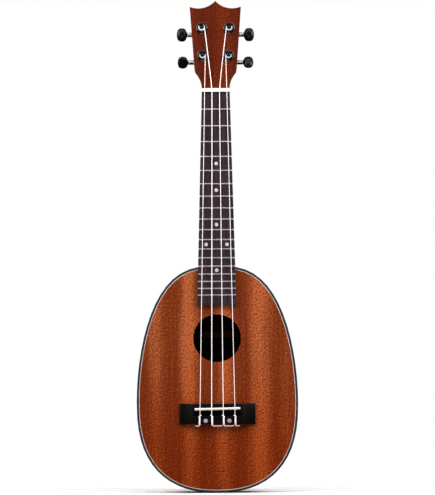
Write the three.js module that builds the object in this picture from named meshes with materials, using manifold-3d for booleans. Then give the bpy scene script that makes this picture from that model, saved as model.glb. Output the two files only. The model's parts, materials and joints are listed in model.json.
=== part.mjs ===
// A concert ukulele with a pear-shaped body, built up from its separate pieces.
//
// Frame, in millimetres: the instrument stands upright with its headstock up.
//   +X  to the right of someone facing the soundboard
//   -Y  the way the soundboard faces, so depth into the body is +Y
//   +Z  along the centreline from the tail to the headstock
// The origin is on the outer face of the flat back, straight behind the saddle.
import * as THREE from "three";
import { mergeVertices } from "three/addons/utils/BufferGeometryUtils.js";
import Module from "manifold-3d";

const wasm = await Module();
wasm.setup();

// ---------------------------------------------------------------- driving sizes

const SCALE_LENGTH = 375; // nut to saddle, as the frets see it
const COMPENSATION = 2.7; // extra string length that keeps fretted notes in tune
const NUT_Z = SCALE_LENGTH + COMPENSATION; // the face of the nut on the fretboard side
const BODY_JOINT_FRET = 14;

const DEPTH_AT_HEEL = 58;
const DEPTH_AT_TAIL = 66;
const HEEL_Z = 168.9; // the flat that the neck is glued to
const TAIL_Z = -99.9;
const BACK_SLOPE = (DEPTH_AT_TAIL - DEPTH_AT_HEEL) / (HEEL_Z - TAIL_Z);
const FRONT_Y = -(DEPTH_AT_HEEL + BACK_SLOPE * HEEL_Z); // outer face of the soundboard

const PLATE = 2; // thickness of the soundboard and of the back
const GLUE_FILM = 0.02; // between a plate and what is glued to its inner face
const INSIDE = PLATE + GLUE_FILM; // how far in those pieces start
const SIDE = 2; // thickness of the bent side
const BINDING = { width: 2.6, depth: 5, chamfer: 0.7 };
const LINING = { reach: 7.5, lip: 5, depth: 15 }; // how far in it stands, its blunt edge, how deep it goes
const BLOCK = { atNeck: 30, atTail: 16 }; // how far in from the outline the two end blocks reach
const BRACE = { width: 8, height: 8, endHeight: 2.5, thinned: 30, endGap: 1.5 };

const SOUNDHOLE = { z: 84, radius: 28.4 };

// The nut's wall stands above the undersides of the strings; its top falls away towards the headstock.
const NUT = { thickness: 4.1, halfWidth: 16.5, wall: 1, ease: 0.8, fall: 1.2 };
const BOARD = { thickness: 5, end: 123.5, halfAtNut: 16.7, halfAtEnd: 23.35 };
const FRET = { count: 18, width: 2, height: 1, slot: 0.6, slotDepth: 2, endSlope: 0.5 };

const HEAD = {
  tilt: THREE.MathUtils.degToRad(10),
  thickness: 11,
  z: NUT_Z + NUT.thickness, // where the face starts to lean back
  flareRadius: 32, // the hollow curve that widens from the nut
  flareHeight: 20.4,
  shoulderBend: { u: 25, v: 21.9 }, // the corner that the curve into the straight side rounds off
  shoulder: { u: 25.3, v: 26 },
  cornerHalf: 30.5,
  crownRadius: 27, // the two hollow arcs that meet in the point at the top
  crownCentre: { u: 20.3, v: 124.3 },
};

const ACTION_AT_NUT = 1.4; // underside of the strings above the fretboard
const SADDLE = { top: 10.6, bottom: 4.4, thickness: 3, halfLength: 27.2, slant: 0.0202, slotGap: 0.05 };
const BRIDGE = {
  halfLength: 45.2,
  top: 6.2,
  bottom: -18.3,
  height: 7.6,
  wingHeight: 3,
  wingStart: 29,
  channel: { halfLength: 27.5, top: -3.4, bottom: -9, floor: 2.4 },
  tieHole: { height: 4.3, radius: 0.8 },
  bolt: { x: 14.1, z: -14.2, cap: 2.5, shank: 1.5, sunk: 1.2, dome: 0.5, inside: 5 },
};

// A string's way round the tie block. Its end sticks out past the block's upper edge and springs up a little,
// the loop turns down and in again near the block's edges, and it stands clear behind the block.
const TIE = {
  clear: 0.1,
  end: { past: 0.6, up: 0.3 },
  upperEdge: 0.8,
  lowerEdge: { before: 1, below: 0.6 },
  behind: 0.3,
  bulge: { out: 0.2, aboveHole: 1 },
  holeMouth: 0.1,
};
// Where a string starts to bend, seen from the crown it bears on.
const SADDLE_BREAK = { along: 1.2, down: 0.4 };
const NUT_BREAK = { before: 0.2, past: 0.1, down: 0.5 };
const WINDING = { turns: 2.25, steps: 10, aboveWaist: 0.7, spacing: 0.12 };
const STRING_SIDES = 6;

// From the bass side to the treble side: each gauge, and where the string crosses the nut and the saddle.
const STRINGS = [
  { name: "string_g", diameter: 0.76, atNut: -13.2, atSaddle: -20.8, tuner: "lower_left" },
  { name: "string_c", diameter: 1.02, atNut: -4.4, atSaddle: -6.9, tuner: "upper_left" },
  { name: "string_e", diameter: 0.86, atNut: 4.4, atSaddle: 6.9, tuner: "upper_right" },
  { name: "string_a", diameter: 0.71, atNut: 13.2, atSaddle: 20.8, tuner: "lower_right" },
];

// Post positions on the face of the headstock, and how far each button stands turned at rest.
const TUNERS = {
  upper_left: { u: -16.4, v: 73.2, turned: 4 },
  upper_right: { u: 16.4, v: 73.2, turned: 3 },
  lower_left: { u: -15.4, v: 39.5, turned: 40 },
  lower_right: { u: 15.4, v: 39.5, turned: -23 },
};

// The worm drive: one worm turn moves the gear on by one tooth.
// The half widths of a gear tooth are measured round the pitch circle.
const GEAR = {
  teeth: 14,
  pitchRadius: 3.5,
  tip: 3.94,
  root: 2.96,
  halfTip: 0.19,
  halfRoot: 0.38,
  thickness: 2,
};
const WORM = { pitchRadius: 1.5, tip: 1.94, core: 0.96, turns: 3, steps: 8, ridgeTop: 0.1, ridgeFoot: 0.37 };
WORM.pitch = (2 * Math.PI * GEAR.pitchRadius) / GEAR.teeth;
WORM.drop = GEAR.pitchRadius + WORM.pitchRadius; // the worm's axis lies this far below the post
WORM.w = -15.2; // how far its axis lies behind the face of the headstock

// Sizes across are measured from the post's axis, and heights from the face of the headstock.
const POST = { radius: 3, waist: 2.75, waistFrom: 2.9, waistTo: 8.4, flare: 3.15, top: 11, bevel: 0.5 };
const PIVOT = { radius: 1.5, length: 1.2 }; // the post's lower end, below the gear
const DISH = { radius: 1.5, depth: 0.8 }; // the hollow in the post's top
const HOUSING = { half: 7.2, up: 6.6, down: 9, depth: 8.6, corner: 3, edge: 0.8 };
const ROOM = { around: 0.4, ends: 0.3 }; // free space round the pieces that turn inside the case
const SNOUT = { radius: 2.7, end: 16.8 };
const SHAFT = { radius: 1.5, end: 24 };
const BUTTON = {
  start: 17.1,
  end: 29.8,
  halfHeight: 8.1,
  halfThickness: 3.4,
  endHeight: 2,
  endThickness: 1.2,
};
const COLLAR = { radius: 2.9, length: 0.6 };
const BUSHING = {
  sleeve: 4,
  depth: 8,
  washer: 7,
  washerThickness: 0.8,
  ease: 0.3,
  hexAcross: 10,
  hexThickness: 2,
};

const RUNNING_GAP = 0.07; // radial play of a shaft in its hole
const BOLT_PLAY = 0.1; // the same for a bolt, which doesn't turn
const SEAT_GAP = 0.05; // the film between a piece of hardware and what it sits on
const STRING_GAP = 0.04; // the same between a string and what it bears on

// ---------------------------------------------------------------- materials

const WOOD = { color: 0x8a3f1f, roughness: 0.35, metalness: 0 };
const NECK_WOOD = { color: 0x6b2a12, roughness: 0.4, metalness: 0 };
const PALE_WOOD = { color: 0xb98d5c, roughness: 0.8, metalness: 0 };
const BLACK_WOOD = { color: 0x1c1718, roughness: 0.5, metalness: 0 };
const FRETBOARD_WOOD = { color: 0x352a2d, roughness: 0.6, metalness: 0 };
const BLACK_PLASTIC = { color: 0x101011, roughness: 0.25, metalness: 0 };
const WHITE_PLASTIC = { color: 0xf1ecdd, roughness: 0.3, metalness: 0 };
const NYLON = { color: 0xf6f3ee, roughness: 0.3, metalness: 0 };
const CHROME = { color: 0xd9dbde, roughness: 0.1, metalness: 1 };
const BRASS = { color: 0xc9a24b, roughness: 0.3, metalness: 1 };

// ---------------------------------------------------------------- making closed solids

// Six times the signed volume of a closed mesh; it is negative when the faces point inwards.
function signedVolume(positions, index) {
  const corner = [new THREE.Vector3(), new THREE.Vector3(), new THREE.Vector3()];
  let sum = 0;
  for (let i = 0; i < index.length; i += 3) {
    corner.forEach((point, k) => point.fromArray(positions, 3 * index[i + k]));
    sum += corner[0].dot(corner[1].clone().cross(corner[2]));
  }
  return sum;
}

// Welds a closed surface into one indexed mesh whose faces point outwards.
function closed(geometry) {
  geometry.deleteAttribute("normal");
  geometry.deleteAttribute("uv");
  const welded = mergeVertices(geometry, 1e-4);
  const index = welded.index.array;
  if (signedVolume(welded.attributes.position.array, index) < 0) {
    for (let i = 0; i < index.length; i += 3) {
      [index[i + 1], index[i + 2]] = [index[i + 2], index[i + 1]];
    }
  }
  return welded;
}

// Stretches a skin over rings of matching points. The ends are capped with the ring's flat outline, given in
// its own plane; without an outline the last ring is joined to the first.
function skin(rings, outline) {
  const size = rings[0].length;
  const index = [];
  const spans = outline ? rings.length - 1 : rings.length;
  for (let r = 0; r < spans; r++) {
    const near = r * size;
    const far = ((r + 1) % rings.length) * size;
    for (let k = 0; k < size; k++) {
      const next = (k + 1) % size;
      index.push(near + k, near + next, far + next, near + k, far + next, far + k);
    }
  }
  if (outline) {
    const last = (rings.length - 1) * size;
    // The triangles come out anticlockwise whichever way round the outline runs.
    const backwards = THREE.ShapeUtils.isClockWise(outline);
    for (const face of THREE.ShapeUtils.triangulateShape(outline, [])) {
      const [a, b, c] = backwards ? face.reverse() : face;
      index.push(c, b, a, last + a, last + b, last + c);
    }
  }
  const geometry = new THREE.BufferGeometry().setFromPoints(rings.flat());
  return closed(geometry.setIndex(index));
}

// A shape drawn in x and z, stretched in y between two surfaces that are given as functions of z.
function sheet(shape, nearY, farY) {
  const geometry = new THREE.ExtrudeGeometry(shape, { depth: 1, bevelEnabled: false, curveSegments: 24 });
  const position = geometry.attributes.position;
  for (let i = 0; i < position.count; i++) {
    const z = position.getY(i);
    const share = position.getZ(i);
    position.setXYZ(i, position.getX(i), (1 - share) * nearY(z) + share * farY(z), z);
  }
  return closed(geometry);
}

// An outline drawn as [across, up] points and pushed from one place to another. The place function turns
// across, up and along into x, y and z.
function bar(points, from, to, place) {
  const outline = points.map(([across, up]) => new THREE.Vector2(across, up));
  const ring = (along) => points.map(([across, up]) => new THREE.Vector3(...place(across, up, along)));
  return skin([ring(from), ring(to)], outline);
}

// A solid of revolution about the z axis. Its profile is a list of [radius, z] with both ends on the axis.
function turned(profile, segments) {
  const points = profile.map(([radius, z]) => new THREE.Vector2(radius, z));
  return closed(new THREE.LatheGeometry(points, segments).rotateX(Math.PI / 2));
}

function cylinder(radius, from, to, segments) {
  return turned([[0, from], [radius, from], [radius, to], [0, to]], segments);
}

// The same cylinder lying along x.
function rod(radius, from, to, segments) {
  return cylinder(radius, from, to, segments).rotateY(Math.PI / 2);
}

function box(x0, x1, y0, y1, z0, z1) {
  const geometry = new THREE.BoxGeometry(x1 - x0, y1 - y0, z1 - z0);
  return closed(geometry.translate((x0 + x1) / 2, (y0 + y1) / 2, (z0 + z1) / 2));
}

// A round cord through a list of points.
function cord(points, radius, sides) {
  const rings = [];
  const normal = new THREE.Vector3(1, 0, 0);
  points.forEach((point, i) => {
    const before = points[Math.max(i - 1, 0)];
    const after = points[Math.min(i + 1, points.length - 1)];
    const tangent = after.clone().sub(before).normalize();
    normal.addScaledVector(tangent, -normal.dot(tangent)).normalize();
    const side = tangent.clone().cross(normal);
    const ring = circle(radius, sides).map(([a, b]) =>
      point.clone().addScaledVector(normal, a).addScaledVector(side, b),
    );
    rings.push(ring);
  });
  const outline = circle(radius, sides).map(([a, b]) => new THREE.Vector2(a, b));
  return skin(rings, outline);
}

function circle(radius, sides) {
  return Array.from({ length: sides }, (_, i) => {
    const angle = (2 * Math.PI * i) / sides;
    return [radius * Math.cos(angle), radius * Math.sin(angle)];
  });
}

function toSolid(geometry) {
  const welded = closed(geometry);
  const mesh = new wasm.Mesh({
    numProp: 3,
    vertProperties: welded.attributes.position.array,
    triVerts: new Uint32Array(welded.index.array),
  });
  return new wasm.Manifold(mesh);
}

function toGeometry(solid) {
  const mesh = solid.getMesh();
  const geometry = new THREE.BufferGeometry();
  geometry.setAttribute("position", new THREE.BufferAttribute(mesh.vertProperties, 3));
  geometry.setIndex(new THREE.BufferAttribute(mesh.triVerts, 1));
  return geometry;
}

// The first geometry with the others joined on.
function join(first, ...others) {
  return toGeometry(others.reduce((solid, other) => solid.add(toSolid(other)), toSolid(first)));
}

// The first geometry with the others cut away.
function cut(first, ...others) {
  return toGeometry(others.reduce((solid, other) => solid.subtract(toSolid(other)), toSolid(first)));
}

function common(first, second) {
  return toGeometry(toSolid(first).intersect(toSolid(second)));
}

// ---------------------------------------------------------------- shared places

// Depth surfaces, as functions of z: so far in from the soundboard's face, or so far in from the back's face.
const fromFront = (depth) => () => FRONT_Y + depth;
const fromBack = (depth) => (z) => -BACK_SLOPE * z - depth;

// The frets stand where each one shortens the string by a semitone.
const fretZ = (number) => NUT_Z - SCALE_LENGTH * (1 - 2 ** (-number / 12));

function boardHalfWidth(z) {
  const share = (NUT_Z - z) / (NUT_Z - BOARD.end);
  return BOARD.halfAtNut + share * (BOARD.halfAtEnd - BOARD.halfAtNut);
}

// The headstock's own frame: u across, v up its face, w out of its face.
const HEAD_FRAME = new THREE.Matrix4()
  .makeTranslation(0, FRONT_Y, HEAD.z)
  .multiply(new THREE.Matrix4().makeRotationX(Math.PI / 2 - HEAD.tilt));

const onHead = (u, v, w) => new THREE.Vector3(u, v, w).applyMatrix4(HEAD_FRAME);

// ---------------------------------------------------------------- body outline

// The outline is two half superellipses that share their widest line. The top is cut off flat for the heel.
const BODY = {
  halfWidth: 96.2,
  widestZ: 7.5,
  upper: { height: 162.6, sideways: 2.873, lengthways: 1.902 },
  lower: { height: -107.4, sideways: 2.398, lengthways: 2.483 },
  flatHalf: 22.3,
  steps: 14,
};

function outlinePoint(half, angle) {
  const x = BODY.halfWidth * Math.cos(angle) ** (2 / half.sideways);
  const z = BODY.widestZ + half.height * Math.sin(angle) ** (2 / half.lengthways);
  return [x, z];
}

function bodyHalfWidth(z) {
  const half = z > BODY.widestZ ? BODY.upper : BODY.lower;
  const share = ((z - BODY.widestZ) / half.height) ** half.lengthways;
  return BODY.halfWidth * (1 - share) ** (1 / half.sideways);
}

// Outline stations, clockwise from the right-hand end of the flat: a point and the direction that insets it.
function bodyStations() {
  const flatAngle = Math.acos((BODY.flatHalf / BODY.halfWidth) ** (BODY.upper.sideways / 2));
  const right = [[BODY.flatHalf, HEEL_Z]];
  for (let i = BODY.steps - 1; i > 0; i--) {
    right.push(outlinePoint(BODY.upper, (flatAngle * i) / BODY.steps));
  }
  for (let i = 0; i < BODY.steps; i++) {
    right.push(outlinePoint(BODY.lower, (Math.PI * i) / (2 * BODY.steps)));
  }
  const left = right.map(([x, z]) => [-x, z]).reverse();
  const loop = [...right, [0, TAIL_Z], ...left].map(([x, z]) => new THREE.Vector2(x, z));
  return loop.map((point, i) => {
    const before = point.clone().sub(loop.at(i - 1)).normalize();
    const after = loop[(i + 1) % loop.length].clone().sub(point).normalize();
    const inwards = new THREE.Vector2(before.y + after.y, -before.x - after.x).normalize();
    // The mitre is stretched so that both neighbouring edges move in by the full inset.
    inwards.divideScalar(inwards.dot(new THREE.Vector2(before.y, -before.x)));
    return { point, inwards };
  });
}

const STATIONS = bodyStations();
const TAIL_STATION = 2 * BODY.steps;

function insetPoint(station, inset) {
  return station.point.clone().addScaledVector(station.inwards, inset);
}

function outlineShape(inset) {
  return new THREE.Shape(STATIONS.map((station) => insetPoint(station, inset)));
}

// A strip that follows the outline. Its section is a list of [inset, depth surface]. It runs all the way
// round, or from a first station to a last one, and may start before station 0.
function strip(section, first, last) {
  const whole = first === undefined;
  const count = whole ? STATIONS.length : last - first + 1;
  const rings = Array.from({ length: count }, (_, i) => {
    const station = STATIONS[((whole ? 0 : first) + i + STATIONS.length) % STATIONS.length];
    return section.map(([inset, surface]) => {
      const { x, y: z } = insetPoint(station, inset);
      return new THREE.Vector3(x, surface(z), z);
    });
  });
  const outline = section.map(([inset, surface]) => new THREE.Vector2(inset, surface(0)));
  return skin(rings, whole ? undefined : outline);
}

// ---------------------------------------------------------------- body pieces

function soundboard() {
  const shape = outlineShape(BINDING.width);
  const round = (x, z, radius) => {
    const hole = new THREE.Path();
    hole.absarc(x, z, radius, 0, 2 * Math.PI, false);
    shape.holes.push(hole);
  };
  round(0, SOUNDHOLE.z, SOUNDHOLE.radius);
  round(-BRIDGE.bolt.x, BRIDGE.bolt.z, BRIDGE.bolt.shank + BOLT_PLAY);
  round(BRIDGE.bolt.x, BRIDGE.bolt.z, BRIDGE.bolt.shank + BOLT_PLAY);
  return sheet(shape, fromFront(0), fromFront(PLATE));
}

function backPlate() {
  return sheet(outlineShape(BINDING.width), fromBack(PLATE), fromBack(0));
}

function sideBand() {
  return strip([
    [0, fromFront(BINDING.depth)],
    [SIDE, fromFront(BINDING.depth)],
    [SIDE, fromBack(BINDING.depth)],
    [0, fromBack(BINDING.depth)],
  ]);
}

function binding(from) {
  return strip([
    [0, from(BINDING.chamfer)],
    [BINDING.chamfer, from(0)],
    [BINDING.width, from(0)],
    [BINDING.width, from(BINDING.depth)],
    [0, from(BINDING.depth)],
  ]);
}

// The lining widens the glued edge between a plate and the side. It stops at the neck block.
function lining(from) {
  const section = [
    [BINDING.width, from(INSIDE)],
    [LINING.reach, from(INSIDE)],
    [LINING.reach, from(LINING.lip)],
    [SIDE, from(LINING.depth)],
    [SIDE, from(BINDING.depth)],
    [BINDING.width, from(BINDING.depth)],
  ];
  return strip(section, 1, STATIONS.length - 2);
}

// The neck block fills the body behind the heel, from plate to plate.
function neckBlock() {
  const section = [
    [BINDING.width, fromFront(INSIDE)],
    [BLOCK.atNeck, fromFront(INSIDE)],
    [BLOCK.atNeck, fromBack(INSIDE)],
    [BINDING.width, fromBack(INSIDE)],
    [BINDING.width, fromBack(BINDING.depth)],
    [SIDE, fromBack(BINDING.depth)],
    [SIDE, fromFront(BINDING.depth)],
    [BINDING.width, fromFront(BINDING.depth)],
  ];
  return strip(section, -2, 1);
}

// The tail block is notched to fit over both linings.
function tailBlock() {
  const section = [
    [LINING.reach, fromFront(INSIDE)],
    [BLOCK.atTail, fromFront(INSIDE)],
    [BLOCK.atTail, fromBack(INSIDE)],
    [LINING.reach, fromBack(INSIDE)],
    [LINING.reach, fromBack(LINING.lip)],
    [SIDE, fromBack(LINING.depth)],
    [SIDE, fromFront(LINING.depth)],
    [LINING.reach, fromFront(LINING.lip)],
  ];
  return strip(section, TAIL_STATION - 2, TAIL_STATION + 2);
}

// A brace crosses a plate from lining to lining, with its ends thinned down.
function brace(z, plateSurface, inwards) {
  const { width, height, endHeight, thinned, endGap } = BRACE;
  const half = bodyHalfWidth(z) - LINING.reach - endGap;
  const outline = [
    [-half, 0],
    [half, 0],
    [half, endHeight],
    [half - thinned, height],
    [thinned - half, height],
    [-half, endHeight],
  ];
  const place = (x, up, along) => [x, plateSurface(along) + inwards * up, along];
  return bar(outline, z - width / 2, z + width / 2, place);
}

// ---------------------------------------------------------------- neck

// One cross-section of the neck: flat on the fretboard side, rounded behind, squarer when fullness is small.
function neckSection(halfWidth, depth, fullness, place) {
  const steps = 12;
  return Array.from({ length: steps + 1 }, (_, i) => {
    const angle = (Math.PI * i) / steps;
    const across = Math.sign(Math.cos(angle)) * Math.abs(Math.cos(angle)) ** fullness;
    const back = Math.sin(angle) ** fullness;
    return place(halfWidth * (i * 2 === steps ? 0 : across), depth * (i % steps === 0 ? 0 : back));
  });
}

const SHAFT_DEPTH = { atHeel: 15.5, atNut: 13.5, heelStart: 212, heelBack: 187, throatStart: 350 };
const RUN_OUT = { length: 16, fall: 5, power: 1.7, narrowed: 0.4, sunk: 0.5, steps: 4 };

function shaftAndHeel() {
  const { atHeel, atNut, heelStart, heelBack, throatStart } = SHAFT_DEPTH;
  const handRound = 0.87;
  const headSquare = 0.3;
  const onNeck = (z) => (x, depth) => new THREE.Vector3(x, FRONT_Y + depth, z);
  const rings = [];
  // The foot of the heel runs deeper than the body; trimmed flush with the back it leaves a rounded cap.
  const footSteps = 5;
  const footExtra = 9;
  for (let i = 0; i < footSteps; i++) {
    const z = THREE.MathUtils.lerp(HEEL_Z, heelBack, i / footSteps);
    const depth = DEPTH_AT_HEEL + footExtra * (1 - (i / footSteps) ** 2);
    rings.push(neckSection(boardHalfWidth(z), depth, 1, onNeck(z)));
  }
  const curveSteps = 8;
  for (let i = curveSteps; i >= 0; i--) {
    const angle = (Math.PI * i) / (2 * curveSteps);
    const z = heelStart - (heelStart - heelBack) * Math.sin(angle);
    const depth = atHeel + (DEPTH_AT_HEEL - atHeel) * (1 - Math.cos(angle));
    const fullness = THREE.MathUtils.lerp(handRound, 1, i / curveSteps);
    rings.push(neckSection(boardHalfWidth(z), depth, fullness, onNeck(z)));
  }
  const throatSteps = 4;
  for (let i = 0; i <= throatSteps; i++) {
    const z = THREE.MathUtils.lerp(throatStart, HEAD.z, i / throatSteps);
    const depth = THREE.MathUtils.mapLinear(z, heelStart, HEAD.z, atHeel, atNut);
    const share = THREE.MathUtils.smoothstep(i / throatSteps, 0, 1);
    const fullness = THREE.MathUtils.lerp(handRound, headSquare, share);
    const halfWidth = Math.min(boardHalfWidth(z), z === HEAD.z ? NUT.halfWidth : Infinity);
    rings.push(neckSection(halfWidth, depth, fullness, onNeck(z)));
  }
  // Past the nut the back of the neck runs out into the back of the headstock.
  for (let i = 1; i <= RUN_OUT.steps; i++) {
    const share = i / RUN_OUT.steps;
    const depth = atNut - RUN_OUT.fall * share ** RUN_OUT.power;
    const place = (u, back) => onHead(u, share * RUN_OUT.length, -RUN_OUT.sunk - back);
    rings.push(neckSection(NUT.halfWidth - RUN_OUT.narrowed, depth, headSquare, place));
  }
  return skin(rings, neckSection(1, 1, 1, (x, depth) => new THREE.Vector2(x, depth)));
}

function headstockPlate() {
  const { flareRadius, flareHeight, shoulderBend, shoulder, thickness } = HEAD;
  const { cornerHalf, crownRadius, crownCentre } = HEAD;
  const right = new THREE.Path();
  const flareEnd = Math.asin(flareHeight / flareRadius);
  right.absarc(NUT.halfWidth + flareRadius, 0, flareRadius, Math.PI, Math.PI - flareEnd, true);
  right.quadraticCurveTo(shoulderBend.u, shoulderBend.v, shoulder.u, shoulder.v);
  const cornerAngle = -Math.acos((cornerHalf - crownCentre.u) / crownRadius);
  const pointAngle = -Math.acos(-crownCentre.u / crownRadius);
  right.absarc(crownCentre.u, crownCentre.v, crownRadius, cornerAngle, pointAngle, true);
  const half = right.getPoints(8);
  half.at(-1).x = 0;
  const left = half.slice(0, -1).map(({ x, y }) => new THREE.Vector2(-x, y)).reverse();
  const shape = new THREE.Shape([...half, ...left]);
  const plate = new THREE.ExtrudeGeometry(shape, { depth: thickness, bevelEnabled: false });
  const holes = Object.values(TUNERS).map(({ u, v }) => {
    const radius = BUSHING.sleeve + SEAT_GAP;
    return cylinder(radius, -thickness - 1, 1, 20).translate(u, v, 0);
  });
  return cut(plate.translate(0, 0, -thickness), ...holes).applyMatrix4(HEAD_FRAME);
}

function neck() {
  const reach = 200;
  const behindBack = box(-reach, reach, 0, reach, -reach, 2 * reach).rotateX(Math.atan(BACK_SLOPE));
  return join(cut(shaftAndHeel(), behindBack), headstockPlate());
}

// The fretboard, slotted right across for each fret.
function fretboard() {
  const face = FRONT_Y - BOARD.thickness;
  const points = [[NUT_Z, FRONT_Y], [NUT_Z, face]];
  for (let number = 1; number <= FRET.count; number++) {
    const z = fretZ(number);
    const half = FRET.slot / 2;
    points.push([z + half, face], [z + half, face + FRET.slotDepth]);
    points.push([z - half, face + FRET.slotDepth], [z - half, face]);
  }
  points.push([BOARD.end, face], [BOARD.end, FRONT_Y]);
  return bar(points, -1, 1, (z, y, side) => [side * boardHalfWidth(z), y, z]);
}

// A fret: a round crown on a tang that fills its slot, with its ends filed to a slope.
function fret(number) {
  const z = fretZ(number);
  const half = FRET.slot / 2;
  const crownSteps = 4;
  const points = [[half, 0], [half, -FRET.slotDepth], [-half, -FRET.slotDepth], [-half, 0]];
  for (let i = 0; i <= crownSteps; i++) {
    const angle = (Math.PI * i) / crownSteps;
    points.push([(-FRET.width / 2) * Math.cos(angle), FRET.height * Math.sin(angle)]);
  }
  const face = FRONT_Y - BOARD.thickness;
  return bar(points, -1, 1, (along, up, side) => {
    const halfLength = boardHalfWidth(z + along) - FRET.endSlope * Math.max(up, 0);
    return [side * halfLength, face - up, z + along];
  });
}

// The nut, with one round-bottomed slot for each string.
function stringNut() {
  const { halfWidth, wall, ease, fall } = NUT;
  const height = BOARD.thickness + ACTION_AT_NUT + wall;
  const points = [[-halfWidth, 0], [-halfWidth, height - ease], [ease - halfWidth, height]];
  for (const { atNut, diameter } of STRINGS) {
    const radius = diameter / 2 + RUNNING_GAP;
    const bottom = BOARD.thickness + ACTION_AT_NUT - RUNNING_GAP;
    const slotSteps = 4;
    points.push([atNut - radius, height]);
    for (let i = 0; i <= slotSteps; i++) {
      const angle = (Math.PI * i) / slotSteps;
      points.push([atNut - radius * Math.cos(angle), bottom + radius * (1 - Math.sin(angle))]);
    }
    points.push([atNut + radius, height]);
  }
  points.push([halfWidth - ease, height], [halfWidth, height - ease], [halfWidth, 0]);
  return bar(points, 0, 1, (x, up, share) => {
    const lowered = up > 0 ? up - share * fall : 0;
    return [x, FRONT_Y - lowered, NUT_Z + share * NUT.thickness];
  });
}

// ---------------------------------------------------------------- bridge

// Everything on the bridge is placed by its height above the soundboard.
const above = (height) => FRONT_Y - height;

function bridge() {
  const { halfLength, top, bottom, height, wingHeight, wingStart, channel, tieHole, bolt } = BRIDGE;
  const wing = new THREE.QuadraticBezierCurve(
    new THREE.Vector2(halfLength, wingHeight),
    new THREE.Vector2((halfLength + wingStart) / 2, wingHeight),
    new THREE.Vector2(wingStart, height),
  );
  const rightEdge = [[halfLength, 0], ...wing.getPoints(6).map(({ x, y }) => [x, y])];
  const leftEdge = rightEdge.map(([x, up]) => [-x, up]).reverse();
  const long = bar([...rightEdge, ...leftEdge], bottom, top, (x, up, z) => [x, above(up), z]);
  const ease = 1.4; // rounding of the long top edges
  const profile = [[bottom, 0], [bottom, height - ease]];
  for (let i = 1; i <= 3; i++) {
    const angle = (Math.PI * i) / 6;
    profile.push([bottom + ease * (1 - Math.cos(angle)), height - ease * (1 - Math.sin(angle))]);
  }
  const mirrored = profile.map(([z, up]) => [top + bottom - z, up]).reverse();
  const past = halfLength + 1;
  const eased = bar([...profile, ...mirrored], -past, past, (z, up, x) => [x, above(up), z]);
  const clear = height + 2; // high enough to cut right through the top
  const gully = bar(
    [
      [-channel.halfLength, channel.floor],
      [channel.halfLength, channel.floor],
      [channel.halfLength, clear],
      [-channel.halfLength, clear],
    ],
    channel.bottom,
    channel.top,
    (x, up, z) => [x, above(up), z],
  );
  const tieHoles = STRINGS.map(({ atSaddle }) =>
    cylinder(tieHole.radius, bottom - 1, channel.bottom + 1, 8).translate(atSaddle, above(tieHole.height), 0),
  );
  const boltHoles = [-bolt.x, bolt.x].map((x) => boltStock(BOLT_PLAY).translate(x, 0, bolt.z));
  return cut(common(long, eased), saddleSlot(clear), gully, ...tieHoles, ...boltHoles);
}

// The slot lies along the slanting line of the saddle.
function saddleSlot(clear) {
  const halfThickness = SADDLE.thickness / 2 + SADDLE.slotGap;
  const halfLength = SADDLE.halfLength + SADDLE.slotGap;
  const floor = SADDLE.bottom - SADDLE.slotGap;
  const section = [
    [-halfThickness, floor],
    [halfThickness, floor],
    [halfThickness, clear],
    [-halfThickness, clear],
  ];
  return bar(section, -halfLength, halfLength, (z, up, x) => [x, above(up), z + x * SADDLE.slant]);
}

function saddle() {
  const { halfLength, thickness, bottom, top, slant } = SADDLE;
  const half = thickness / 2;
  const crownSteps = 6;
  const profile = [[half, bottom], [-half, bottom]];
  for (let i = 0; i <= crownSteps; i++) {
    const angle = (Math.PI * i) / crownSteps;
    profile.push([-half * Math.cos(angle), top - half * (1 - Math.sin(angle))]);
  }
  return bar(profile, -halfLength, halfLength, (across, up, x) => [x, above(up), across + x * slant]);
}

// A bolt's solid, standing on the soundboard with its axis along y; play widens it into the hole it needs.
function boltStock(play) {
  const { cap, shank, sunk, dome, inside } = BRIDGE.bolt;
  const bottom = -PLATE - inside - play;
  const capBottom = BRIDGE.height - sunk - play;
  const crown = BRIDGE.height + dome;
  const profile = [
    [0, bottom],
    [shank + play, bottom],
    [shank + play, capBottom],
    [cap + play, capBottom],
    [cap + play, play ? crown : BRIDGE.height],
    [0, crown],
  ];
  return turned(profile, 16).rotateX(Math.PI / 2).translate(0, FRONT_Y, 0);
}

function bridgeBolt(x) {
  return boltStock(0).translate(x, 0, BRIDGE.bolt.z);
}

// ---------------------------------------------------------------- strings

// Where the straight run from the nut meets the winding, seen from the post, on the post's inner side.
function tangentAngle(from, centre, radius, side) {
  const towards = Math.atan2(from.y - centre.v, from.x - centre.u);
  const distance = Math.hypot(from.x - centre.u, from.y - centre.v);
  return towards + side * Math.acos(radius / distance);
}

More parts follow.
